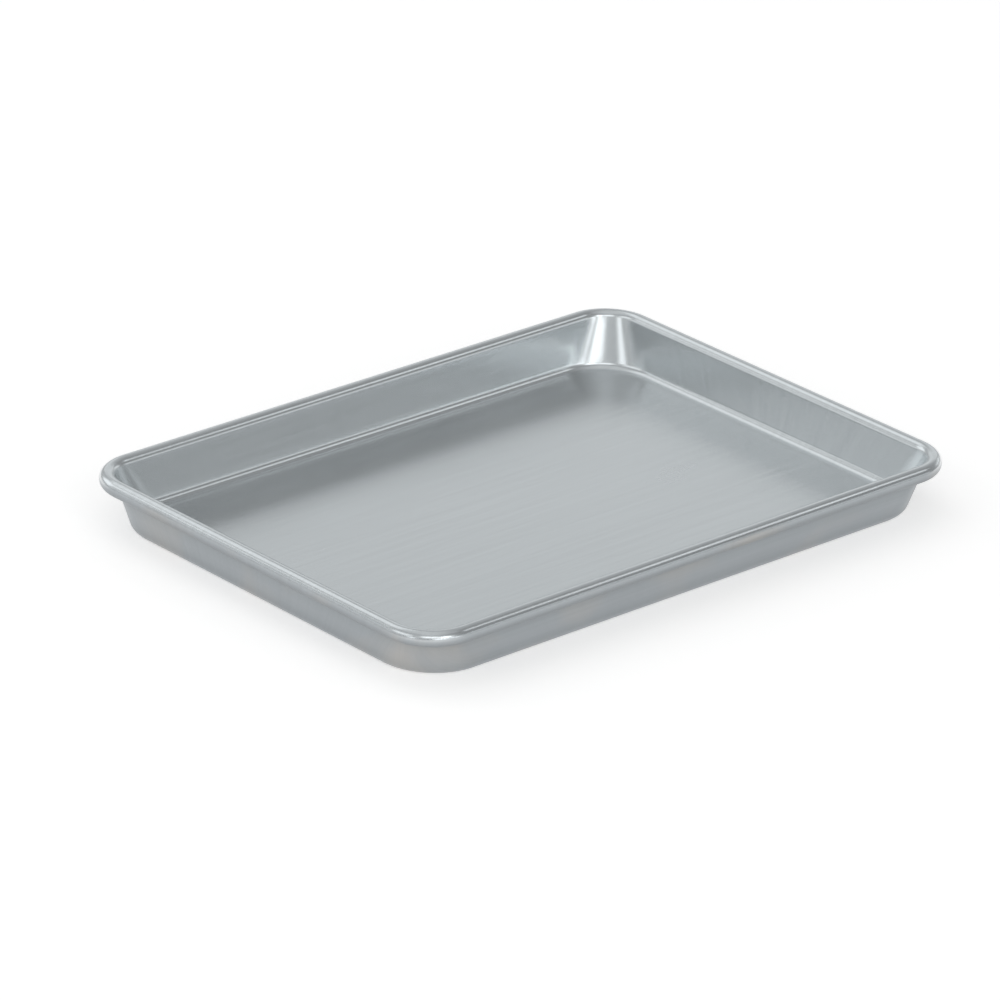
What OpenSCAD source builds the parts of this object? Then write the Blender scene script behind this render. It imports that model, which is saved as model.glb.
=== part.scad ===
// Sheet pan: a shallow baking tray drawn from one sheet of aluminium. Its walls lean outwards so
// that pans nest, and its rim is rolled outwards and down round a steel wire that stiffens it.
// All lengths are in millimetres. +X runs along the long side, +Y along the short side and +Z up.
// The origin is the centre of the underside, on the surface that the pan stands on.

/* [Pan] */
// Length over the rolled rim
rim_length = 330; // [240:1:460]
// Width over the rolled rim
rim_width = 241; // [160:1:330]
// Height from the underside to the top of the rim
pan_height = 27; // [22:0.5:50]
// Thickness of the aluminium sheet
sheet = 1; // [0.6:0.1:1.5]

/* [Walls and floor] */
// Lean of the straight walls from upright, in degrees
wall_lean = 5; // [1:0.5:20]
// Inside radius of the bend between floor and wall
bend_r = 4; // [2:0.5:8]
// Corner radius of the flat floor
floor_corner_r = 25; // [12:0.5:40]

/* [Rolled rim] */
// Outer radius of the rim at the corners
rim_corner_r = 25.2; // [15:0.1:35]
// Diameter of the steel wire inside the rim
wire_d = 5.6; // [3:0.1:8]
// Clearance between the wire and the sheet rolled round it
wire_clearance = 0.1; // [0.1:0.05:0.4]
// Gap between the two ends of the wire
wire_gap = 1; // [0.5:0.1:5]
// Gap between the rolled edge of the sheet and the wall
edge_gap = 0.2; // [0.1:0.1:0.6]

/* [Hidden] */

// Sections round each corner, and steps across the bend and round the roll
corner_steps = 12;
bend_steps = 7;
roll_steps = 26;
// Sides of the wire, and of the full circle that its corner bends are part of
wire_sides = 32;
wire_bend_sides = 96;

// A quarter turn in degrees, and the way to each corner from the middle, by quadrant
quarter = 90;
corner_signs = [[1, 1], [-1, 1], [-1, -1], [1, -1]];

// Radii of the sheet's two faces: in the bend, the underside's is the larger, and in the roll the
// tray side's is, because the two bend opposite ways
bend_under_r = bend_r + sheet;
roll_under_r = wire_d / 2 + wire_clearance;
roll_top_r = roll_under_r + sheet;

// The wire's centre line is a rounded rectangle at this height
wire_z = pan_height - roll_top_r;
wire_half = [rim_length / 2 - roll_top_r, rim_width / 2 - roll_top_r];
wire_corner_r = rim_corner_r - roll_top_r;

// A wall is the flat run of sheet that touches the bend on one side and the roll on the other. Seen
// in section, their centres are this far apart, measured upwards and squarely to the wall.
rise = wire_z - bend_under_r;
reach = bend_under_r + roll_under_r;

// The edge of the flat floor is a rounded rectangle too, below the bend's centre line
wall_run = (reach + rise * sin(wall_lean)) / cos(wall_lean);
floor_half = [for (half = wire_half) half - wall_run];

// The roll turns until its edge is edge_gap from the wall
roll_turn = 2 * quarter + acos((edge_gap - roll_under_r) / roll_top_r);

// Each station is a quadrant and the direction in which the rim faces there, in degrees. The
// straight sides need no stations of their own, because the sections at their two ends are alike.
stations = [for (k = [0 : len(corner_signs) - 1], i = [0 : corner_steps])
    [corner_signs[k], quarter * (k + i / corner_steps)]];

function heading(angle) = [cos(angle), sin(angle)];

// Point of a rounded rectangle, given by its half sizes and corner radius, where it faces a station
function on_path(half, corner_r, station) =
    [for (axis = [0, 1]) station[0][axis] * (half[axis] - corner_r)]
    + corner_r * heading(station[1]);

// Point on a circle that stands upright across a path, facing outwards along a heading
function on_circle(centre, z, outwards, r, angle) =
    let (spot = centre + outwards * r * cos(angle))
    [spot.x, spot.y, z + r * sin(angle)];

// Section through the sheet at a station, from the floor's underside out round the roll and back to
// the floor's top. The wall leans more in the corners, where the floor draws in further than the
// rim, and its lean follows from the two circles that it touches.
function section(station) =
    let (
        out = heading(station[1]),
        wire = on_path(wire_half, wire_corner_r, station),
        floor_edge = on_path(floor_half, floor_corner_r, station),
        run = (wire - floor_edge) * out,
        lean = acos(reach / norm([run, rise])) - atan2(rise, run),
        bend_turn = quarter - lean,
        roll_start = 2 * quarter - lean
    )
    [
        for (i = [0 : bend_steps])
            on_circle(floor_edge, bend_under_r, out, bend_under_r, bend_turn * i / bend_steps - quarter),
        for (i = [0 : roll_steps])
            on_circle(wire, wire_z, out, roll_under_r, roll_start - roll_turn * i / roll_steps),
        for (i = [roll_steps : -1 : 0])
            on_circle(wire, wire_z, out, roll_top_r, roll_start - roll_turn * i / roll_steps),
        for (i = [bend_steps : -1 : 0])
            on_circle(floor_edge, bend_under_r, out, bend_r, bend_turn * i / bend_steps - quarter)
    ];

// Closed skin over sections that follow one another round a ring. The first and the last point of
// every section go round two flat panels, which close the ring's middle below and above.
module ring_with_floor(sections) {
    rows = len(sections);
    columns = len(sections[0]);
    points = [for (row = sections) each row];
    strips = [for (i = [0 : rows - 1], j = [0 : columns - 2])
        let (
            here = i * columns + j,
            there = (i + 1) % rows * columns + j
        )
        each [[here, here + 1, there + 1], [here, there + 1, there]]];
    under = [for (i = [0 : rows - 1]) i * columns];
    top = [for (i = [rows - 1 : -1 : 0]) i * columns + columns - 1];
    polyhedron(points = points, faces = concat(strips, [under, top]), convexity = 6);
}

// The whole drawn pan: floor, bends, leaning walls and rolled rim, in one sheet of even thickness
module pan_shell() {
    color([0.76, 0.77, 0.77])
        ring_with_floor([for (station = stations) section(station)]);
}

// Quarter bend of the wire round a corner, from facing +X to facing +Y
module wire_corner() {
    rotate_extrude(angle = quarter, $fn = wire_bend_sides)
        translate([wire_corner_r, 0])
            circle(d = wire_d, $fn = wire_sides);
}

// Straight wire that runs towards +X
module wire_straight(length) {
    rotate([quarter, 0, quarter])
        cylinder(d = wire_d, h = length, $fn = wire_sides);
}

// Steel wire bent to the rim's shape, with its ends meeting in the middle of one long side
module rim_wire() {
    side = [for (half = wire_half) half - wire_corner_r];
    color([0.55, 0.56, 0.57])
        translate([0, 0, wire_z]) {
            for (k = [0 : len(corner_signs) - 1])
                translate([corner_signs[k].x * side.x, corner_signs[k].y * side.y])
                    rotate(quarter * k)
                        wire_corner();
            for (turn = [quarter, -quarter])
                rotate(turn)
                    translate([-side.y, -wire_half.x])
                        wire_straight(2 * side.y);
            translate([-side.x, -wire_half.y])
                wire_straight(2 * side.x);
            for (start = [-side.x, wire_gap / 2])
                translate([start, wire_half.y])
                    wire_straight(side.x - wire_gap / 2);
        }
}

pan_shell();
rim_wire();
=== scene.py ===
"""A rolled-rim aluminium sheet pan in a plain white studio.

Lengths are in metres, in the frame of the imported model: +X runs along the pan's long side, +Y along
its short side and +Z up, with the origin at the centre of the underside.
"""

import math

import bmesh
import bpy
from bpy.props import FloatProperty, FloatVectorProperty, IntProperty, PointerProperty
from bpy.types import Operator, Panel, PropertyGroup
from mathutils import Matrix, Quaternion, Vector


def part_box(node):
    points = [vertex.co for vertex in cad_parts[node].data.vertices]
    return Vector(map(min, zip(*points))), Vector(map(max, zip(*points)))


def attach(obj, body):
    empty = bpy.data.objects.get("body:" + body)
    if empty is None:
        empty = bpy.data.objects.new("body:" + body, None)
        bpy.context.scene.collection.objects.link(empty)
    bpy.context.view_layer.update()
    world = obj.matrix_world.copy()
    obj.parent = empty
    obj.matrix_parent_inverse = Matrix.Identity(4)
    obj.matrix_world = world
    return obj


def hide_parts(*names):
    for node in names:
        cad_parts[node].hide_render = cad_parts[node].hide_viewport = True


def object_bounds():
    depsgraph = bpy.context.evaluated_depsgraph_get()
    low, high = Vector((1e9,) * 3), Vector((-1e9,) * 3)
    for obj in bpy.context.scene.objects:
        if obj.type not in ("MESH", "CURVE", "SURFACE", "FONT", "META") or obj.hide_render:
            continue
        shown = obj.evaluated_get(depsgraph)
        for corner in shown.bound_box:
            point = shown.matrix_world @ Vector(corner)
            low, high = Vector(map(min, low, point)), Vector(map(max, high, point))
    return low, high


bl_info = {
    "name": "Sheet Pan",
    "version": (1, 0, 0),
    "blender": (4, 5, 0),
    "location": "3D View > Sidebar > Sheet Pan",
    "description": "Dresses an aluminium sheet pan and sets it in a plain white studio",
    "category": "Add Mesh",
}

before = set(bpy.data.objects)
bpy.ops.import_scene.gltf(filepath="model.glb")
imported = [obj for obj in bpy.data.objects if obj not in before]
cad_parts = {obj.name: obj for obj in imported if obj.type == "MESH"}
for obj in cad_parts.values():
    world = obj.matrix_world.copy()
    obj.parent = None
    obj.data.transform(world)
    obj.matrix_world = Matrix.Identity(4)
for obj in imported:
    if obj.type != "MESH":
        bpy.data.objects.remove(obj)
CAD_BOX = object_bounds()
WIRE_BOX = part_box("rim_wire")

MM = 0.001
QUARTER_TURN = math.pi / 2
# The way to each corner from the pan's middle, by quadrant
CORNER_SIGNS = ((1, 1), (-1, 1), (-1, -1), (1, -1))


class PanShape(PropertyGroup):
    """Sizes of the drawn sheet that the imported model's boxes don't give."""

    sheet: FloatProperty(
        name="Sheet thickness", description="Thickness of the aluminium sheet",
        default=1 * MM, min=0.5 * MM, unit="LENGTH", precision=5,
    )
    wall_lean: FloatProperty(
        name="Wall lean", description="Lean of the straight walls from upright",
        default=math.radians(5), min=0, subtype="ANGLE",
    )
    bend_radius: FloatProperty(
        name="Bend radius", description="Inside radius of the bend between floor and wall",
        default=4 * MM, min=1 * MM, unit="LENGTH", precision=5,
    )
    floor_corner_radius: FloatProperty(
        name="Floor corner radius", description="Corner radius of the flat floor",
        default=25 * MM, min=5 * MM, unit="LENGTH", precision=5,
    )
    rim_corner_radius: FloatProperty(
        name="Rim corner radius", description="Outer radius of the rim at the corners",
        default=25.2 * MM, min=10 * MM, unit="LENGTH", precision=5,
    )
    wire_clearance: FloatProperty(
        name="Wire clearance", description="Clearance between the wire and the sheet round it",
        default=0.1 * MM, min=0, unit="LENGTH", precision=5,
    )
    edge_gap: FloatProperty(
        name="Edge gap", description="Gap between the rolled edge of the sheet and the wall",
        default=0.2 * MM, min=0, unit="LENGTH", precision=5,
    )
    corner_steps: IntProperty(
        name="Corner steps", description="Sections round each corner", default=48, min=4,
    )
    bend_steps: IntProperty(
        name="Bend steps", description="Steps across the bend", default=14, min=2,
    )
    wall_steps: IntProperty(
        name="Wall steps", description="Steps up the wall", default=6, min=1,
    )
    roll_steps: IntProperty(
        name="Roll steps", description="Steps round the rolled rim", default=64, min=8,
    )


class AluminiumFinish(PropertyGroup):
    """Satin mill finish. The underside's darker colour is partly its dull finish and partly painted
    shade.
    """

    tray_colour: FloatVectorProperty(
        name="Tray colour", description="Reflectance of the sheet's tray side", subtype="COLOR",
        default=(0.725, 0.745, 0.752), min=0, max=1,
    )
    # Darker than the tray colour: partly the underside's dull finish, partly painted shade that stands
    # in for a dimmer floor reflected in the outer walls and the rim's outer side
    under_colour_and_shade: FloatVectorProperty(
        name="Underside colour", description="Reflectance of the sheet's dulled underside",
        subtype="COLOR", default=(0.37, 0.394, 0.412), min=0, max=1,
    )
    tint_colour: FloatVectorProperty(
        name="Tint colour", description="Reflectance where the oven has tinted the underside",
        subtype="COLOR", default=(0.42, 0.415, 0.405), min=0, max=1,
    )
    tray_roughness: FloatProperty(
        name="Tray roughness", description="Roughness of the sheet's tray side",
        default=0.25, min=0, max=1, subtype="FACTOR",
    )
    under_roughness: FloatProperty(
        name="Underside roughness", description="Roughness of the sheet's underside",
        default=0.36, min=0, max=1, subtype="FACTOR",
    )
    grain_depth: FloatProperty(
        name="Grain depth", description="Depth of the lines that rolling left in the sheet",
        default=0.002 * MM, min=0, unit="LENGTH", precision=6,
    )
    draw_depth: FloatProperty(
        name="Draw mark depth", description="Depth of the marks where the sheet slid over the die",
        default=0.006 * MM, min=0, unit="LENGTH", precision=6,
    )
    ripple_depth: FloatProperty(
        name="Ripple depth", description="Depth of the slow waves in the thin sheet",
        default=0.25 * MM, min=0, unit="LENGTH", precision=6,
    )


class WireFinish(PropertyGroup):
    """Galvanised finish of the wire inside the rim."""

    colour: FloatVectorProperty(
        name="Colour", description="Reflectance of the zinc", subtype="COLOR",
        default=(0.50, 0.51, 0.52), min=0, max=1,
    )
    spangle: FloatProperty(
        name="Spangle", description="Size of the crystals in the zinc",
        default=1.5 * MM, min=0.1 * MM, unit="LENGTH", precision=5,
    )


class Studio(PropertyGroup):
    """Camera and light."""

    camera_azimuth: FloatProperty(
        name="Camera azimuth", description="Way round the pan, from the front", subtype="ANGLE",
        default=math.radians(-42.61),
    )
    camera_elevation: FloatProperty(
        name="Camera elevation", description="Height of the camera above the horizon",
        subtype="ANGLE", default=math.radians(23.90),
    )
    camera_roll: FloatProperty(
        name="Camera roll", description="Turn of the camera about its own line of sight",
        subtype="ANGLE", default=math.radians(1.88),
    )
    camera_distance: FloatProperty(
        name="Camera distance", description="From the middle of the pan", unit="LENGTH",
        default=3.17,
    )
    world_strength: FloatProperty(
        name="World strength", description="Even light from all round", default=0.46, min=0,
    )
    floor_glow: FloatProperty(
        name="Floor glow", description="What the floor adds to its own light, up to white",
        default=0.445, min=0, max=1,
    )


# Geometry of the sheet


# How much the die irons the straight walls, and how much more per radian of lean in the corners
STRAIGHT_IRONED = 0.45
IRONED_PER_LEAN = 2.5
# Work peaks halfway across the bend, and from this share of it on stays level or grows again
BEND_EASED_SHARE = 0.85
# The sheet is fully worked from this share of the way round the roll
ROLL_WORKED_SHARE = 0.125
# The rolled rim turns dull and takes painted shade from the first share of the way round it, and
# a darker painted shade from the second. Each sets in over the third.
ROLL_TOP_SHARE = 0.41
ROLL_SIDE_SHARE = 0.51
ROLL_FADE_SHARE = 0.14
# Painted shade on the outer wall reaches this far down from under the rim
RIM_SHADE_HEIGHT = 8 * MM
# The bend at the wall's foot takes less of this painted shade, and it fades over this height
BEND_SHADE = 0.35
BEND_SHADE_HEIGHT = 4 * MM


class Sheet:
    """The drawn sheet's sections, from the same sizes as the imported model."""

    def __init__(self, shape):
        low, high = CAD_BOX
        wire_low, wire_high = WIRE_BOX
        self.shape = shape
        self.bend_top_r = shape.bend_radius
        self.bend_under_r = shape.bend_radius + shape.sheet
        self.roll_under_r = (wire_high.z - wire_low.z) / 2 + shape.wire_clearance
        self.roll_top_r = self.roll_under_r + shape.sheet
        self.wire_z = high.z - self.roll_top_r
        self.wire_half = (high.x - self.roll_top_r, high.y - self.roll_top_r)
        self.wire_corner_r = shape.rim_corner_radius - self.roll_top_r
        self.rise = self.wire_z - self.bend_under_r
        self.reach = self.bend_under_r + self.roll_under_r
        run = (self.reach + self.rise * math.sin(shape.wall_lean)) / math.cos(shape.wall_lean)
        self.floor_half = tuple(half - run for half in self.wire_half)
        self.roll_turn = math.pi + math.acos((shape.edge_gap - self.roll_under_r) / self.roll_top_r)

    def stations(self):
        """The quadrant's signs and the rim's heading at each section, once round the pan."""
        steps = self.shape.corner_steps
        return [
            (signs, QUARTER_TURN * (quadrant + step / steps))
            for quadrant, signs in enumerate(CORNER_SIGNS)
            for step in range(steps + 1)
        ]

    def section(self, signs, angle):
        """The floor's edge at a station, and the points of the underside and of the tray side.

        Each point is its place, its distance along and three shades: how much the tools have rubbed
        the sheet there, which also gives it a painted sheen; how far it faces away from the tray,
        which dulls it and darkens it with painted shade; and how much painted shade it takes under the
        rim and at the wall's foot, all from 0 to 1. Distance along is measured on the sheet, outwards
        from the edge of the flat floor.
        """
        out = heading(angle)
        wire = on_path(self.wire_half, self.wire_corner_r, signs, out)
        floor_edge = on_path(self.floor_half, self.shape.floor_corner_radius, signs, out)
        run = (wire - floor_edge).dot(out)
        lean = math.acos(self.reach / math.hypot(run, self.rise)) - math.atan2(self.rise, run)
        wall = math.sqrt(run * run + self.rise * self.rise - self.reach * self.reach)
        bend_turn = QUARTER_TURN - lean
        bend_length = bend_turn * (self.bend_top_r + self.bend_under_r) / 2
        roll_length = self.roll_turn * (self.roll_top_r + self.roll_under_r) / 2

        # The die irons the walls more in the corners, where they lean more
        ironed = min(1, STRAIGHT_IRONED + IRONED_PER_LEAN * (lean - self.shape.wall_lean))
        rim_foot = self.wire_z - self.roll_top_r

        def face(bend_r, roll_r, is_under):
            points = []
            for share in shares(self.shape.bend_steps):
                turn = bend_turn * share - QUARTER_TURN
                place = on_circle(floor_edge, self.bend_under_r, out, bend_r, turn)
                work_and_sheen = max(ironed * share, math.sin(math.pi * min(share, BEND_EASED_SHARE)))
                # Painted shade on the outside of the bend
                crevice_shade = is_under * BEND_SHADE * share
                points.append((place, bend_length * share, work_and_sheen, is_under, crevice_shade))
            foot = points[-1]
            top = on_circle(wire, self.wire_z, out, roll_r, math.pi - lean)
            for share in shares(self.shape.wall_steps)[1:-1]:
                place = foot[0].lerp(top, share)
                work_and_sheen = foot[2] + (ironed - foot[2]) * share
                # Painted shade under the rim and at the foot of the outer wall
                above = smooth_step((place.z - rim_foot + RIM_SHADE_HEIGHT) / RIM_SHADE_HEIGHT)
                below = BEND_SHADE * (1 - smooth_step((place.z - foot[0].z) / BEND_SHADE_HEIGHT))
                crevice_shade = is_under * max(above, below)
                points.append((place, bend_length + wall * share, work_and_sheen, is_under, crevice_shade))
            for share in shares(self.shape.roll_steps):
                turn = math.pi - lean - self.roll_turn * share
                place = on_circle(wire, self.wire_z, out, roll_r, turn)
                work_and_sheen = ironed + (1 - ironed) * min(1, share / ROLL_WORKED_SHARE)
                # The rim's outward side turns dull and takes painted shade, and further round a darker
                # painted shade
                dullness_and_shade = max(is_under, smooth_step((share - ROLL_TOP_SHARE) / ROLL_FADE_SHARE))
                crevice_shade = max(is_under, smooth_step((share - ROLL_SIDE_SHARE) / ROLL_FADE_SHARE))
                points.append((place, bend_length + wall + roll_length * share, work_and_sheen, dullness_and_shade, crevice_shade))
            return points

        under = face(self.bend_under_r, self.roll_under_r, 1)
        return floor_edge, under, face(self.bend_top_r, self.roll_top_r, 0)


def smooth_step(share):
    """Eases from 0 to 1."""
    share = max(0, min(1, share))
    return share * share * (3 - 2 * share)


def heading(angle):
    """Level direction, turned from +X by an angle."""
    return Vector((math.cos(angle), math.sin(angle), 0))


def shares(steps):
    """Even shares from 0 to 1."""
    return [step / steps for step in range(steps + 1)]


def on_path(half, corner_r, signs, out):
    """Point of a rounded rectangle where it faces out, in the quadrant of signs."""
    middle = Vector((signs[0] * (half[0] - corner_r), signs[1] * (half[1] - corner_r), 0))
    return middle + out * corner_r


def on_circle(centre, height, out, r, angle):
    """Point on a circle that stands upright across a path."""
    return centre + out * (r * math.cos(angle)) + Vector((0, 0, height + r * math.sin(angle)))


# Rings of the flat floor, as shares of the way from its edge to its middle line
FLOOR_RING_SHARES = (0.006, 0.03, 0.12, 0.3, 0.5, 0.7, 0.85, 1)
# Points nearer to each other than this are one point
JOIN_DISTANCE = 0.001 * MM
# Faces that meet at more than this keep a sharp edge between them
SHARP_ANGLE = math.radians(40)


def sheet_mesh(shape):
    """The whole pan as one closed skin.

    Its point attributes are "blank", where the point lay on the flat sheet before it was formed,
    "drawn", the point of the floor's edge that it was drawn over and how far from it, and three
    shades: how much the tools have rubbed it, with a painted sheen; how far it faces away from the
    tray, which dulls it and paints shade on it; and the painted shade under the rim and at the wall's
    foot.
    """
    sheet = Sheet(shape)
    bm = bmesh.new()
    blank = bm.verts.layers.float_vector.new("blank")
    drawn = bm.verts.layers.float_vector.new("drawn")
    # Shades: the tools' rubbing with its painted sheen, the dull side with its painted shade, and the
    # painted shade under the rim and at the wall's foot
    shades = [bm.verts.layers.float.new(name) for name in ("work_and_sheen", "dullness_and_shade", "crevice_shade")]
    spine = sheet.floor_half[0] - sheet.floor_half[1]

    def vertex(place, lay, over, levels):
        made = bm.verts.new(place)
        made[blank] = lay
        made[drawn] = over
        for shade, level in zip(shades, levels):
            made[shade] = level
        return made

    def toward_middle(place, share):
        middle = Vector((max(-spine, min(spine, place.x)), 0, place.z))
        return place.lerp(middle, share)

    rows = []
    for signs, angle in sheet.stations():
        floor_edge, under, tray = sheet.section(signs, angle)
        row = []
        for points, is_under in ((under, 1), (tray, 0)):
            edge = points[0][0]
            skin = []
            for share in reversed(FLOOR_RING_SHARES):
                place = toward_middle(edge, share)
                skin.append(vertex(place, place, floor_edge, (0, is_under, 0)))
            for place, along, *levels in points:
                lay = edge + heading(angle) * along
                over = floor_edge + Vector((0, 0, along))
                skin.append(vertex(place, lay, over, levels))
            row.extend(skin if is_under else reversed(skin))
        rows.append(row)
    for here, there in zip(rows, rows[1:] + rows[:1]):
        for j in range(len(here) - 1):
            bm.faces.new((here[j], here[j + 1], there[j + 1], there[j]))
    bmesh.ops.remove_doubles(bm, verts=bm.verts, dist=JOIN_DISTANCE)
    bmesh.ops.recalc_face_normals(bm, faces=bm.faces)
    mesh = bpy.data.meshes.new("drawn_shell")
    bm.to_mesh(mesh)
    bm.free()
    mesh.shade_smooth()
    mesh.set_sharp_from_angle(angle=SHARP_ANGLE)
    return mesh


# Finishes


def add_node(tree, kind, inputs=None, **settings):
    """Adds a shader node. inputs gives each socket a plain value or another node's output."""
    made = tree.nodes.new(kind)
    for name, value in settings.items():
        setattr(made, name, value)
    for name, value in (inputs or {}).items():
        if isinstance(value, bpy.types.NodeSocket):
            tree.links.new(value, made.inputs[name])
        else:
            made.inputs[name].default_value = value
    return made


def new_material(name):
    """An empty node material and its output node."""
    material = bpy.data.materials.new(name)
    material.use_nodes = True
    material.node_tree.nodes.clear()
    output = material.node_tree.nodes.new("ShaderNodeOutputMaterial")
    return material, material.node_tree, output


def maths(tree, operation, *values):
    """Arithmetic on plain values and other nodes' outputs."""
    made = add_node(tree, "ShaderNodeMath", dict(enumerate(values)), operation=operation)
    return made.outputs["Value"]


def spread(tree, value, low, high, start=0.0, end=1.0):
    """Takes a value that runs from start to end, and gives one that runs from low to high."""
    made = add_node(tree, "ShaderNodeMapRange", {
        "Value": value, "From Min": start, "From Max": end, "To Min": low, "To Max": high,
    })
    return made.outputs["Result"]


def added(tree, total, values, amounts):
    """Adds to a total each of the values, times its own amount."""
    for value, amount in zip(values, amounts):
        total = maths(tree, "ADD", total, maths(tree, "MULTIPLY", value, amount))
    return total


# The mix node names its sockets alike for every type of value, so colours go by their places
MIX_FACTOR, MIX_FIRST, MIX_SECOND = 0, 6, 7
MIX_RESULT = 2


def mixed(tree, factor, first, second):
    """Colour between two others."""
    made = add_node(tree, "ShaderNodeMix", {
        MIX_FACTOR: factor, MIX_FIRST: first, MIX_SECOND: second,
    }, data_type="RGBA")
    return made.outputs[MIX_RESULT]


def scaled(tree, vector, scale):
    """Colour or vector times a level."""
    made = add_node(tree, "ShaderNodeVectorMath", {0: vector, "Scale": scale}, operation="SCALE")
    return made.outputs["Vector"]


def attribute(tree, name, output):
    """A point attribute of the mesh."""
    return add_node(tree, "ShaderNodeAttribute", attribute_name=name).outputs[output]


def noise(tree, place, size, detail, turn=0.0):
    """Noise whose grains have this size along each axis, turned about Z."""
    stretched = add_node(tree, "ShaderNodeMapping", {
        "Vector": place, "Rotation": (0, 0, turn), "Scale": size,
    }, vector_type="TEXTURE")
    made = add_node(tree, "ShaderNodeTexNoise", {
        "Vector": stretched.outputs["Vector"], "Scale": 1, "Detail": detail,
    })
    return made.outputs["Fac"]


def bumped(tree, height, depth, normal=None):
    """Normal of a surface with a relief of this depth on it."""
    inputs = {"Height": height, "Distance": depth, "Strength": 1}
    if normal:
        inputs["Normal"] = normal
    return add_node(tree, "ShaderNodeBump", inputs).outputs["Normal"]


def add_metal(tree, output, colour, roughness, normal):
    """Bare metal, as the material's surface."""
    shader = add_node(tree, "ShaderNodeBsdfPrincipled", {
        "Base Color": colour, "Metallic": 1, "Roughness": roughness, "Normal": normal,
    })
    tree.links.new(shader.outputs["BSDF"], output.inputs["Surface"])


# Size of the grain, the draw marks, the clouds of shine and the waves. The draw marks' sizes are
# along X and Y of the floor's edge and up the sheet from it, the others' along X, Y and Z.
GRAIN_SIZE = (70 * MM, 1.6 * MM, 1.6 * MM)
DRAW_MARK_SIZE = (2.6 * MM, 2.6 * MM, 40 * MM)
CLOUD_SIZE = (60 * MM, 38 * MM, 38 * MM)
RIPPLE_SIZE = (120 * MM, 95 * MM, 95 * MM)
# Scratches run in these directions, with these lengths, and set in between two levels of their noise
SCRATCHES = ((math.radians(17), 240 * MM), (math.radians(-52), 180 * MM))
SCRATCH_WIDTH = 0.8 * MM
SCRATCH_LEVELS = (0.77, 0.92)
# Share of the scratches that the tray side has
TRAY_SCRATCHES = 0.45
# The oven's tint sets in on the outside where the clouds are between these levels
TINT_LEVELS = (0.5, 0.75)
# Range of tone, and of roughness, across the clouds and across the grain
CLOUD_TONES = (0.96, 1.04)
GRAIN_TONES = (-0.05, 0.05)
CLOUD_ROUGHNESS = (-0.05, 0.05)
GRAIN_ROUGHNESS = (-0.015, 0.015)
# What draw marks, the tools' rubbing with its painted sheen, scratches and the painted shade under the
# rim and at the wall's foot add to the tone
ADDED_TONE = (0.06, 0.05, 0.05, -0.2)
# What the tools' rubbing, scratches and the mask of the painted shade under the rim add to the
# roughness
ADDED_ROUGHNESS = (-0.02, 0.04, 0.08)


def aluminium(finish):
    """Satin aluminium: rolled grain, marks of the die on the walls, scratches, a dull side away from
    the tray darkened with painted shade, painted shade under the rim and a painted sheen where the
    tools rubbed.
    """
    material, tree, output = new_material("satin_aluminium")
    blank = attribute(tree, "blank", "Vector")
    drawn = attribute(tree, "drawn", "Vector")
    # Masks: the tools' rubbing, which also paints a sheen; the dull side away from the tray, which
    # also paints shade; and painted shade under the rim and at the wall's foot
    work_and_sheen = attribute(tree, "work_and_sheen", "Fac")
    dullness_and_shade = attribute(tree, "dullness_and_shade", "Fac")
    crevice_shade = attribute(tree, "crevice_shade", "Fac")

    grain = noise(tree, blank, GRAIN_SIZE, detail=1)
    draw_marks = noise(tree, drawn, DRAW_MARK_SIZE, detail=1)
    clouds = noise(tree, blank, CLOUD_SIZE, detail=2)
    ripples = noise(tree, blank, RIPPLE_SIZE, detail=1)
    streaks = []
    for turn, length in SCRATCHES:
        lines = noise(tree, blank, (length, SCRATCH_WIDTH, SCRATCH_WIDTH), detail=0, turn=turn)
        streaks.append(spread(tree, lines, 0, 1, *SCRATCH_LEVELS))
    scratches = maths(tree, "MAXIMUM", *streaks)
    scratches = maths(tree, "MULTIPLY", scratches, spread(tree, dullness_and_shade, TRAY_SCRATCHES, 1))
    marks = maths(tree, "MULTIPLY", draw_marks, work_and_sheen)

    # The side away from the tray takes the darker colour, partly its dull finish and partly painted
    # shade
    metal = mixed(tree, dullness_and_shade, (*finish.tray_colour, 1), (*finish.under_colour_and_shade, 1))
    heated = maths(tree, "MULTIPLY", spread(tree, clouds, 0, 1, *TINT_LEVELS), dullness_and_shade)
    tinted = mixed(tree, heated, metal, (*finish.tint_colour, 1))
    tone = maths(tree, "ADD", spread(tree, clouds, *CLOUD_TONES), spread(tree, grain, *GRAIN_TONES))
    # Tone: painted sheen where the tools rubbed, and painted shade under the rim and at the wall's
    # foot
    tone = added(tree, tone, (marks, work_and_sheen, scratches, crevice_shade), ADDED_TONE)
    colour = scaled(tree, tinted, tone)

    roughness = spread(tree, dullness_and_shade, finish.tray_roughness, finish.under_roughness)
    roughness = maths(tree, "ADD", roughness, spread(tree, clouds, *CLOUD_ROUGHNESS))
    roughness = maths(tree, "ADD", roughness, spread(tree, grain, *GRAIN_ROUGHNESS))
    roughness = added(tree, roughness, (work_and_sheen, scratches, crevice_shade), ADDED_ROUGHNESS)

    normal = bumped(tree, ripples, finish.ripple_depth)
    normal = bumped(tree, grain, finish.grain_depth, normal)
    normal = bumped(tree, marks, finish.draw_depth, normal)

    add_metal(tree, output, colour, roughness, normal)
    return material


# The zinc's crystals have at least the first share of its colour, and up to the second more
CRYSTAL_TONE = 0.85
CRYSTAL_TONE_RANGE = 0.3
# The film on the zinc: its size along each axis, its range of roughness and its relief
FILM_SIZE = (4 * MM, 4 * MM, 4 * MM)
FILM_ROUGHNESS = (0.38, 0.62)
FILM_DEPTH = 0.02 * MM


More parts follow.
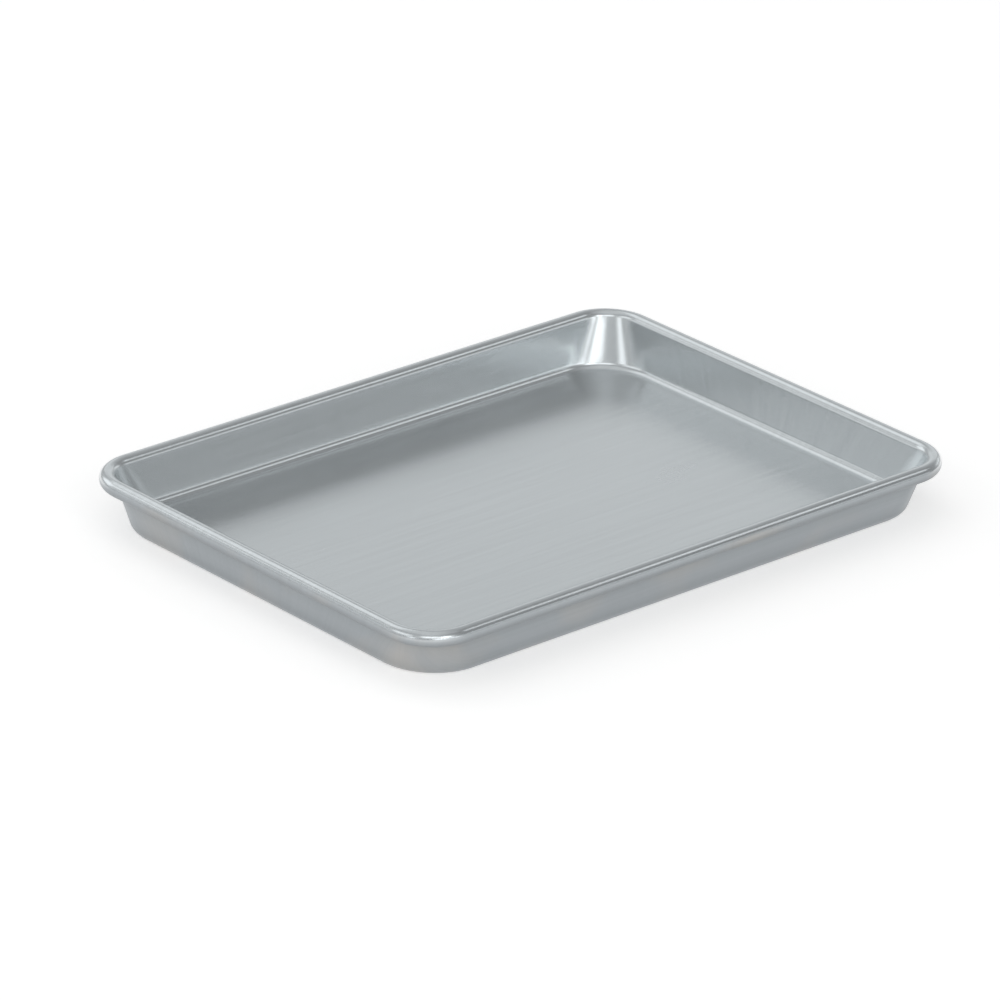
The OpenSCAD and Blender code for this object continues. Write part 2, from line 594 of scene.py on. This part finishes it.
def galvanised_steel(finish):
    """Dull zinc on drawn wire, with its spangle of crystals."""
    material, tree, output = new_material("galvanised_steel")
    place = add_node(tree, "ShaderNodeTexCoord").outputs["Object"]
    crystals = add_node(tree, "ShaderNodeTexVoronoi", {"Vector": place, "Scale": 1 / finish.spangle})
    tone = added(tree, CRYSTAL_TONE, (crystals.outputs["Color"],), (CRYSTAL_TONE_RANGE,))
    colour = scaled(tree, finish.colour, tone)
    film = noise(tree, place, FILM_SIZE, detail=3)
    roughness = spread(tree, film, *FILM_ROUGHNESS)
    add_metal(tree, output, colour, roughness, bumped(tree, film, FILM_DEPTH))
    return material


# Operators, one for each piece and one for the stage


class SHEETPAN_OT_shell(Operator):
    """Makes the drawn sheet with its rolled rim"""

    bl_idname = "sheetpan.shell"
    bl_label = "Drawn Shell"

    def execute(self, context):
        mesh = sheet_mesh(context.scene.pan_shape)
        mesh.materials.append(aluminium(context.scene.aluminium_finish))
        shell = bpy.data.objects.new("drawn_shell", mesh)
        context.scene.collection.objects.link(shell)
        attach(shell, "root")
        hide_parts("pan_shell")
        return {"FINISHED"}


class SHEETPAN_OT_wire(Operator):
    """Gives the wire inside the rim its zinc finish"""

    bl_idname = "sheetpan.wire"
    bl_label = "Rim Wire"

    def execute(self, context):
        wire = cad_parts["rim_wire"]
        wire.data.materials.clear()
        wire.data.materials.append(galvanised_steel(context.scene.wire_finish))
        return {"FINISHED"}


class SHEETPAN_OT_stage(Operator):
    """Sets the floor, the lamps, the world and the camera"""

    bl_idname = "sheetpan.stage"
    bl_label = "Studio"

    def execute(self, context):
        studio = context.scene.studio
        make_floor(context.scene, studio)
        make_world(context.scene, studio)
        make_lamps(context.scene)
        make_camera(context.scene, studio)
        context.scene.view_settings.view_transform = "Standard"
        return {"FINISHED"}


def away(azimuth, elevation):
    """Direction from the pan's middle. Azimuth 0 is the front, and positive is to the right."""
    level = math.cos(elevation)
    return Vector((math.sin(azimuth) * level, -math.cos(azimuth) * level, math.sin(elevation)))


# Half the length of the floor's sides
FLOOR_HALF = 4
# The light is a little cool and the floor a little warm, so that the floor looks plain white
LIGHT_COLOUR = (0.965, 1, 1.02)
FLOOR_COLOUR = (0.98, 0.95, 0.93, 1)
GLOW_COLOUR = (1, 1, 1, 1)
# The floor lies this far under the pan, so that the two flat faces don't share a plane
FLOOR_DROP = 0.2 * MM


def make_floor(scene, studio):
    """White floor, whose glow shows to the camera and in the metal but lights nothing."""
    material, tree, output = new_material("studio_floor")
    lit = add_node(tree, "ShaderNodeBsdfDiffuse", {"Color": FLOOR_COLOUR})
    ray = add_node(tree, "ShaderNodeLightPath")
    seen = maths(tree, "MAXIMUM", ray.outputs["Is Camera Ray"], ray.outputs["Is Glossy Ray"])
    seen = maths(tree, "MAXIMUM", seen, ray.outputs["Is Transmission Ray"])
    glow = add_node(tree, "ShaderNodeEmission", {
        "Color": GLOW_COLOUR, "Strength": maths(tree, "MULTIPLY", seen, studio.floor_glow),
    })
    both = add_node(tree, "ShaderNodeAddShader", {0: lit.outputs["BSDF"], 1: glow.outputs["Emission"]})
    tree.links.new(both.outputs["Shader"], output.inputs["Surface"])
    mesh = bpy.data.meshes.new("floor")
    corners = [(x * FLOOR_HALF, y * FLOOR_HALF, -FLOOR_DROP) for x, y in CORNER_SIGNS]
    mesh.from_pydata(corners, [], [(0, 1, 2, 3)])
    mesh.materials.append(material)
    floor = bpy.data.objects.new("floor", mesh)
    scene.collection.objects.link(floor)


# The room is darkest in this direction, given by its azimuth and elevation. Its light there is this
# share of the rest, and it grows to the rest over this angle.
DARK_SIDE = (math.radians(60), math.radians(38))
DARK_REACH = math.radians(50)
DARK_SHARE = 0.55


def make_world(scene, studio):
    """Even light from all round, weaker from the room's darker side."""
    world = bpy.data.worlds.new("studio")
    world.use_nodes = True
    tree = world.node_tree
    tree.nodes.clear()
    output = tree.nodes.new("ShaderNodeOutputWorld")
    direction = add_node(tree, "ShaderNodeTexCoord").outputs["Generated"]
    nearness = add_node(tree, "ShaderNodeVectorMath", {
        0: direction, 1: away(*DARK_SIDE),
    }, operation="DOT_PRODUCT")
    level = spread(tree, nearness.outputs["Value"], 1, DARK_SHARE, math.cos(DARK_REACH), 1)
    background = add_node(tree, "ShaderNodeBackground", {
        "Color": scaled(tree, LIGHT_COLOUR, level), "Strength": studio.world_strength,
    })
    tree.links.new(background.outputs["Background"], output.inputs["Surface"])
    scene.world = world


# Soft boxes: name, azimuth and elevation in degrees, distance, width and height in metres, and
# brightness of the white front, where 1 is the brightness of a white card in the picture
SOFT_BOXES = (
    ("top", 0, 89, 2.5, 2.2, 2.2, 0.15),
    ("back_high", 180, 52, 2.6, 1.5, 1.2, 0.45),
    ("back_low", 137, 20, 3.0, 2.6, 1.0, 0.28),
    ("left_back", 200, 24, 2.8, 1.6, 1.2, 0.66),
    ("left_high", 258, 33, 2.6, 1.7, 0.85, 0.6),
    ("left_low", 229, 13, 2.8, 1.0, 0.7, 0.35),
    ("left_side", 255, 13, 2.8, 0.9, 0.7, 0.16),
    ("left_front", 284, 14, 2.6, 0.55, 0.6, 1.1),
    ("camera_high", 317, 36, 2.6, 1.2, 0.8, 1),
    ("front_low", 338, 13, 2.6, 1.25, 0.55, 1.4),
    ("front_high", 350, 32, 2.8, 1.0, 0.9, 1.55),
    ("front_right", 8, 13, 2.8, 0.8, 0.6, 1.3),
    ("right_low", 40, 11, 2.8, 1.6, 0.5, 0.5),
    ("right_high", 60, 43, 2.6, 0.7, 0.6, 0.8),
    ("right_back", 95, 14, 2.8, 1.2, 0.6, 0.5),
)


def make_lamps(scene):
    """Soft boxes round the pan, each of which faces it."""
    for name, azimuth, elevation, distance, width, height, brightness in SOFT_BOXES:
        lamp = bpy.data.lights.new(name, "AREA")
        lamp.shape = "RECTANGLE"
        lamp.size = width
        lamp.size_y = height
        lamp.color = LIGHT_COLOUR
        lamp.energy = brightness * math.pi * width * height
        place = away(math.radians(azimuth), math.radians(elevation))
        holder = bpy.data.objects.new(name, lamp)
        holder.location = place * distance
        holder.rotation_mode = "QUATERNION"
        holder.rotation_quaternion = (-place).to_track_quat("-Z", "Y")
        scene.collection.objects.link(holder)


# Focal length and width of the sensor, in millimetres
LENS = 249.1
SENSOR = 36
# The camera sees as far as this
CLIP_END = 50
# Where the middle of the picture falls, sideways and upwards from the middle of the pan
AIM_ASIDE = -10.35 * MM
AIM_UP = -4.17 * MM
PAN_MIDDLE = Vector((0, 0, 12 * MM))


def make_camera(scene, studio):
    """Camera at the photo's viewing angle."""
    data = bpy.data.cameras.new("camera")
    data.lens = LENS
    data.sensor_width = SENSOR
    data.clip_end = CLIP_END
    back = away(studio.camera_azimuth, studio.camera_elevation)
    roll = Quaternion((0, 0, 1), studio.camera_roll)
    turn = (-back).to_track_quat("-Z", "Y") @ roll
    place = PAN_MIDDLE + back * studio.camera_distance
    aim = PAN_MIDDLE + turn @ Vector((AIM_ASIDE, AIM_UP, 0))
    camera = bpy.data.objects.new("camera", data)
    camera.location = place
    camera.rotation_mode = "QUATERNION"
    camera.rotation_quaternion = (aim - place).to_track_quat("-Z", "Y") @ roll
    scene.collection.objects.link(camera)
    scene.camera = camera


class SHEETPAN_PT_sidebar(Panel):
    """Lists the pan's pieces and the studio"""

    bl_idname = "SHEETPAN_PT_sidebar"
    bl_label = "Sheet Pan"
    bl_space_type = "VIEW_3D"
    bl_region_type = "UI"
    bl_category = "Sheet Pan"

    def draw(self, context):
        for group in SETTINGS:
            box = self.layout.box()
            settings = getattr(context.scene, group)
            for name in settings.__annotations__:
                box.prop(settings, name)
        for operator in OPERATORS:
            self.layout.operator(operator.bl_idname)


SETTINGS = {
    "pan_shape": PanShape,
    "aluminium_finish": AluminiumFinish,
    "wire_finish": WireFinish,
    "studio": Studio,
}
OPERATORS = (SHEETPAN_OT_shell, SHEETPAN_OT_wire, SHEETPAN_OT_stage)


def register():
    for group, settings in SETTINGS.items():
        bpy.utils.register_class(settings)
        setattr(bpy.types.Scene, group, PointerProperty(type=settings))
    for shown in (*OPERATORS, SHEETPAN_PT_sidebar):
        bpy.utils.register_class(shown)


def unregister():
    for shown in (SHEETPAN_PT_sidebar, *reversed(OPERATORS)):
        bpy.utils.unregister_class(shown)
    for group, settings in reversed(SETTINGS.items()):
        delattr(bpy.types.Scene, group)
        bpy.utils.unregister_class(settings)


def main():
    register()
    bpy.ops.sheetpan.shell()
    bpy.ops.sheetpan.wire()
    bpy.ops.sheetpan.stage()


if __name__ == "__main__":
    main()
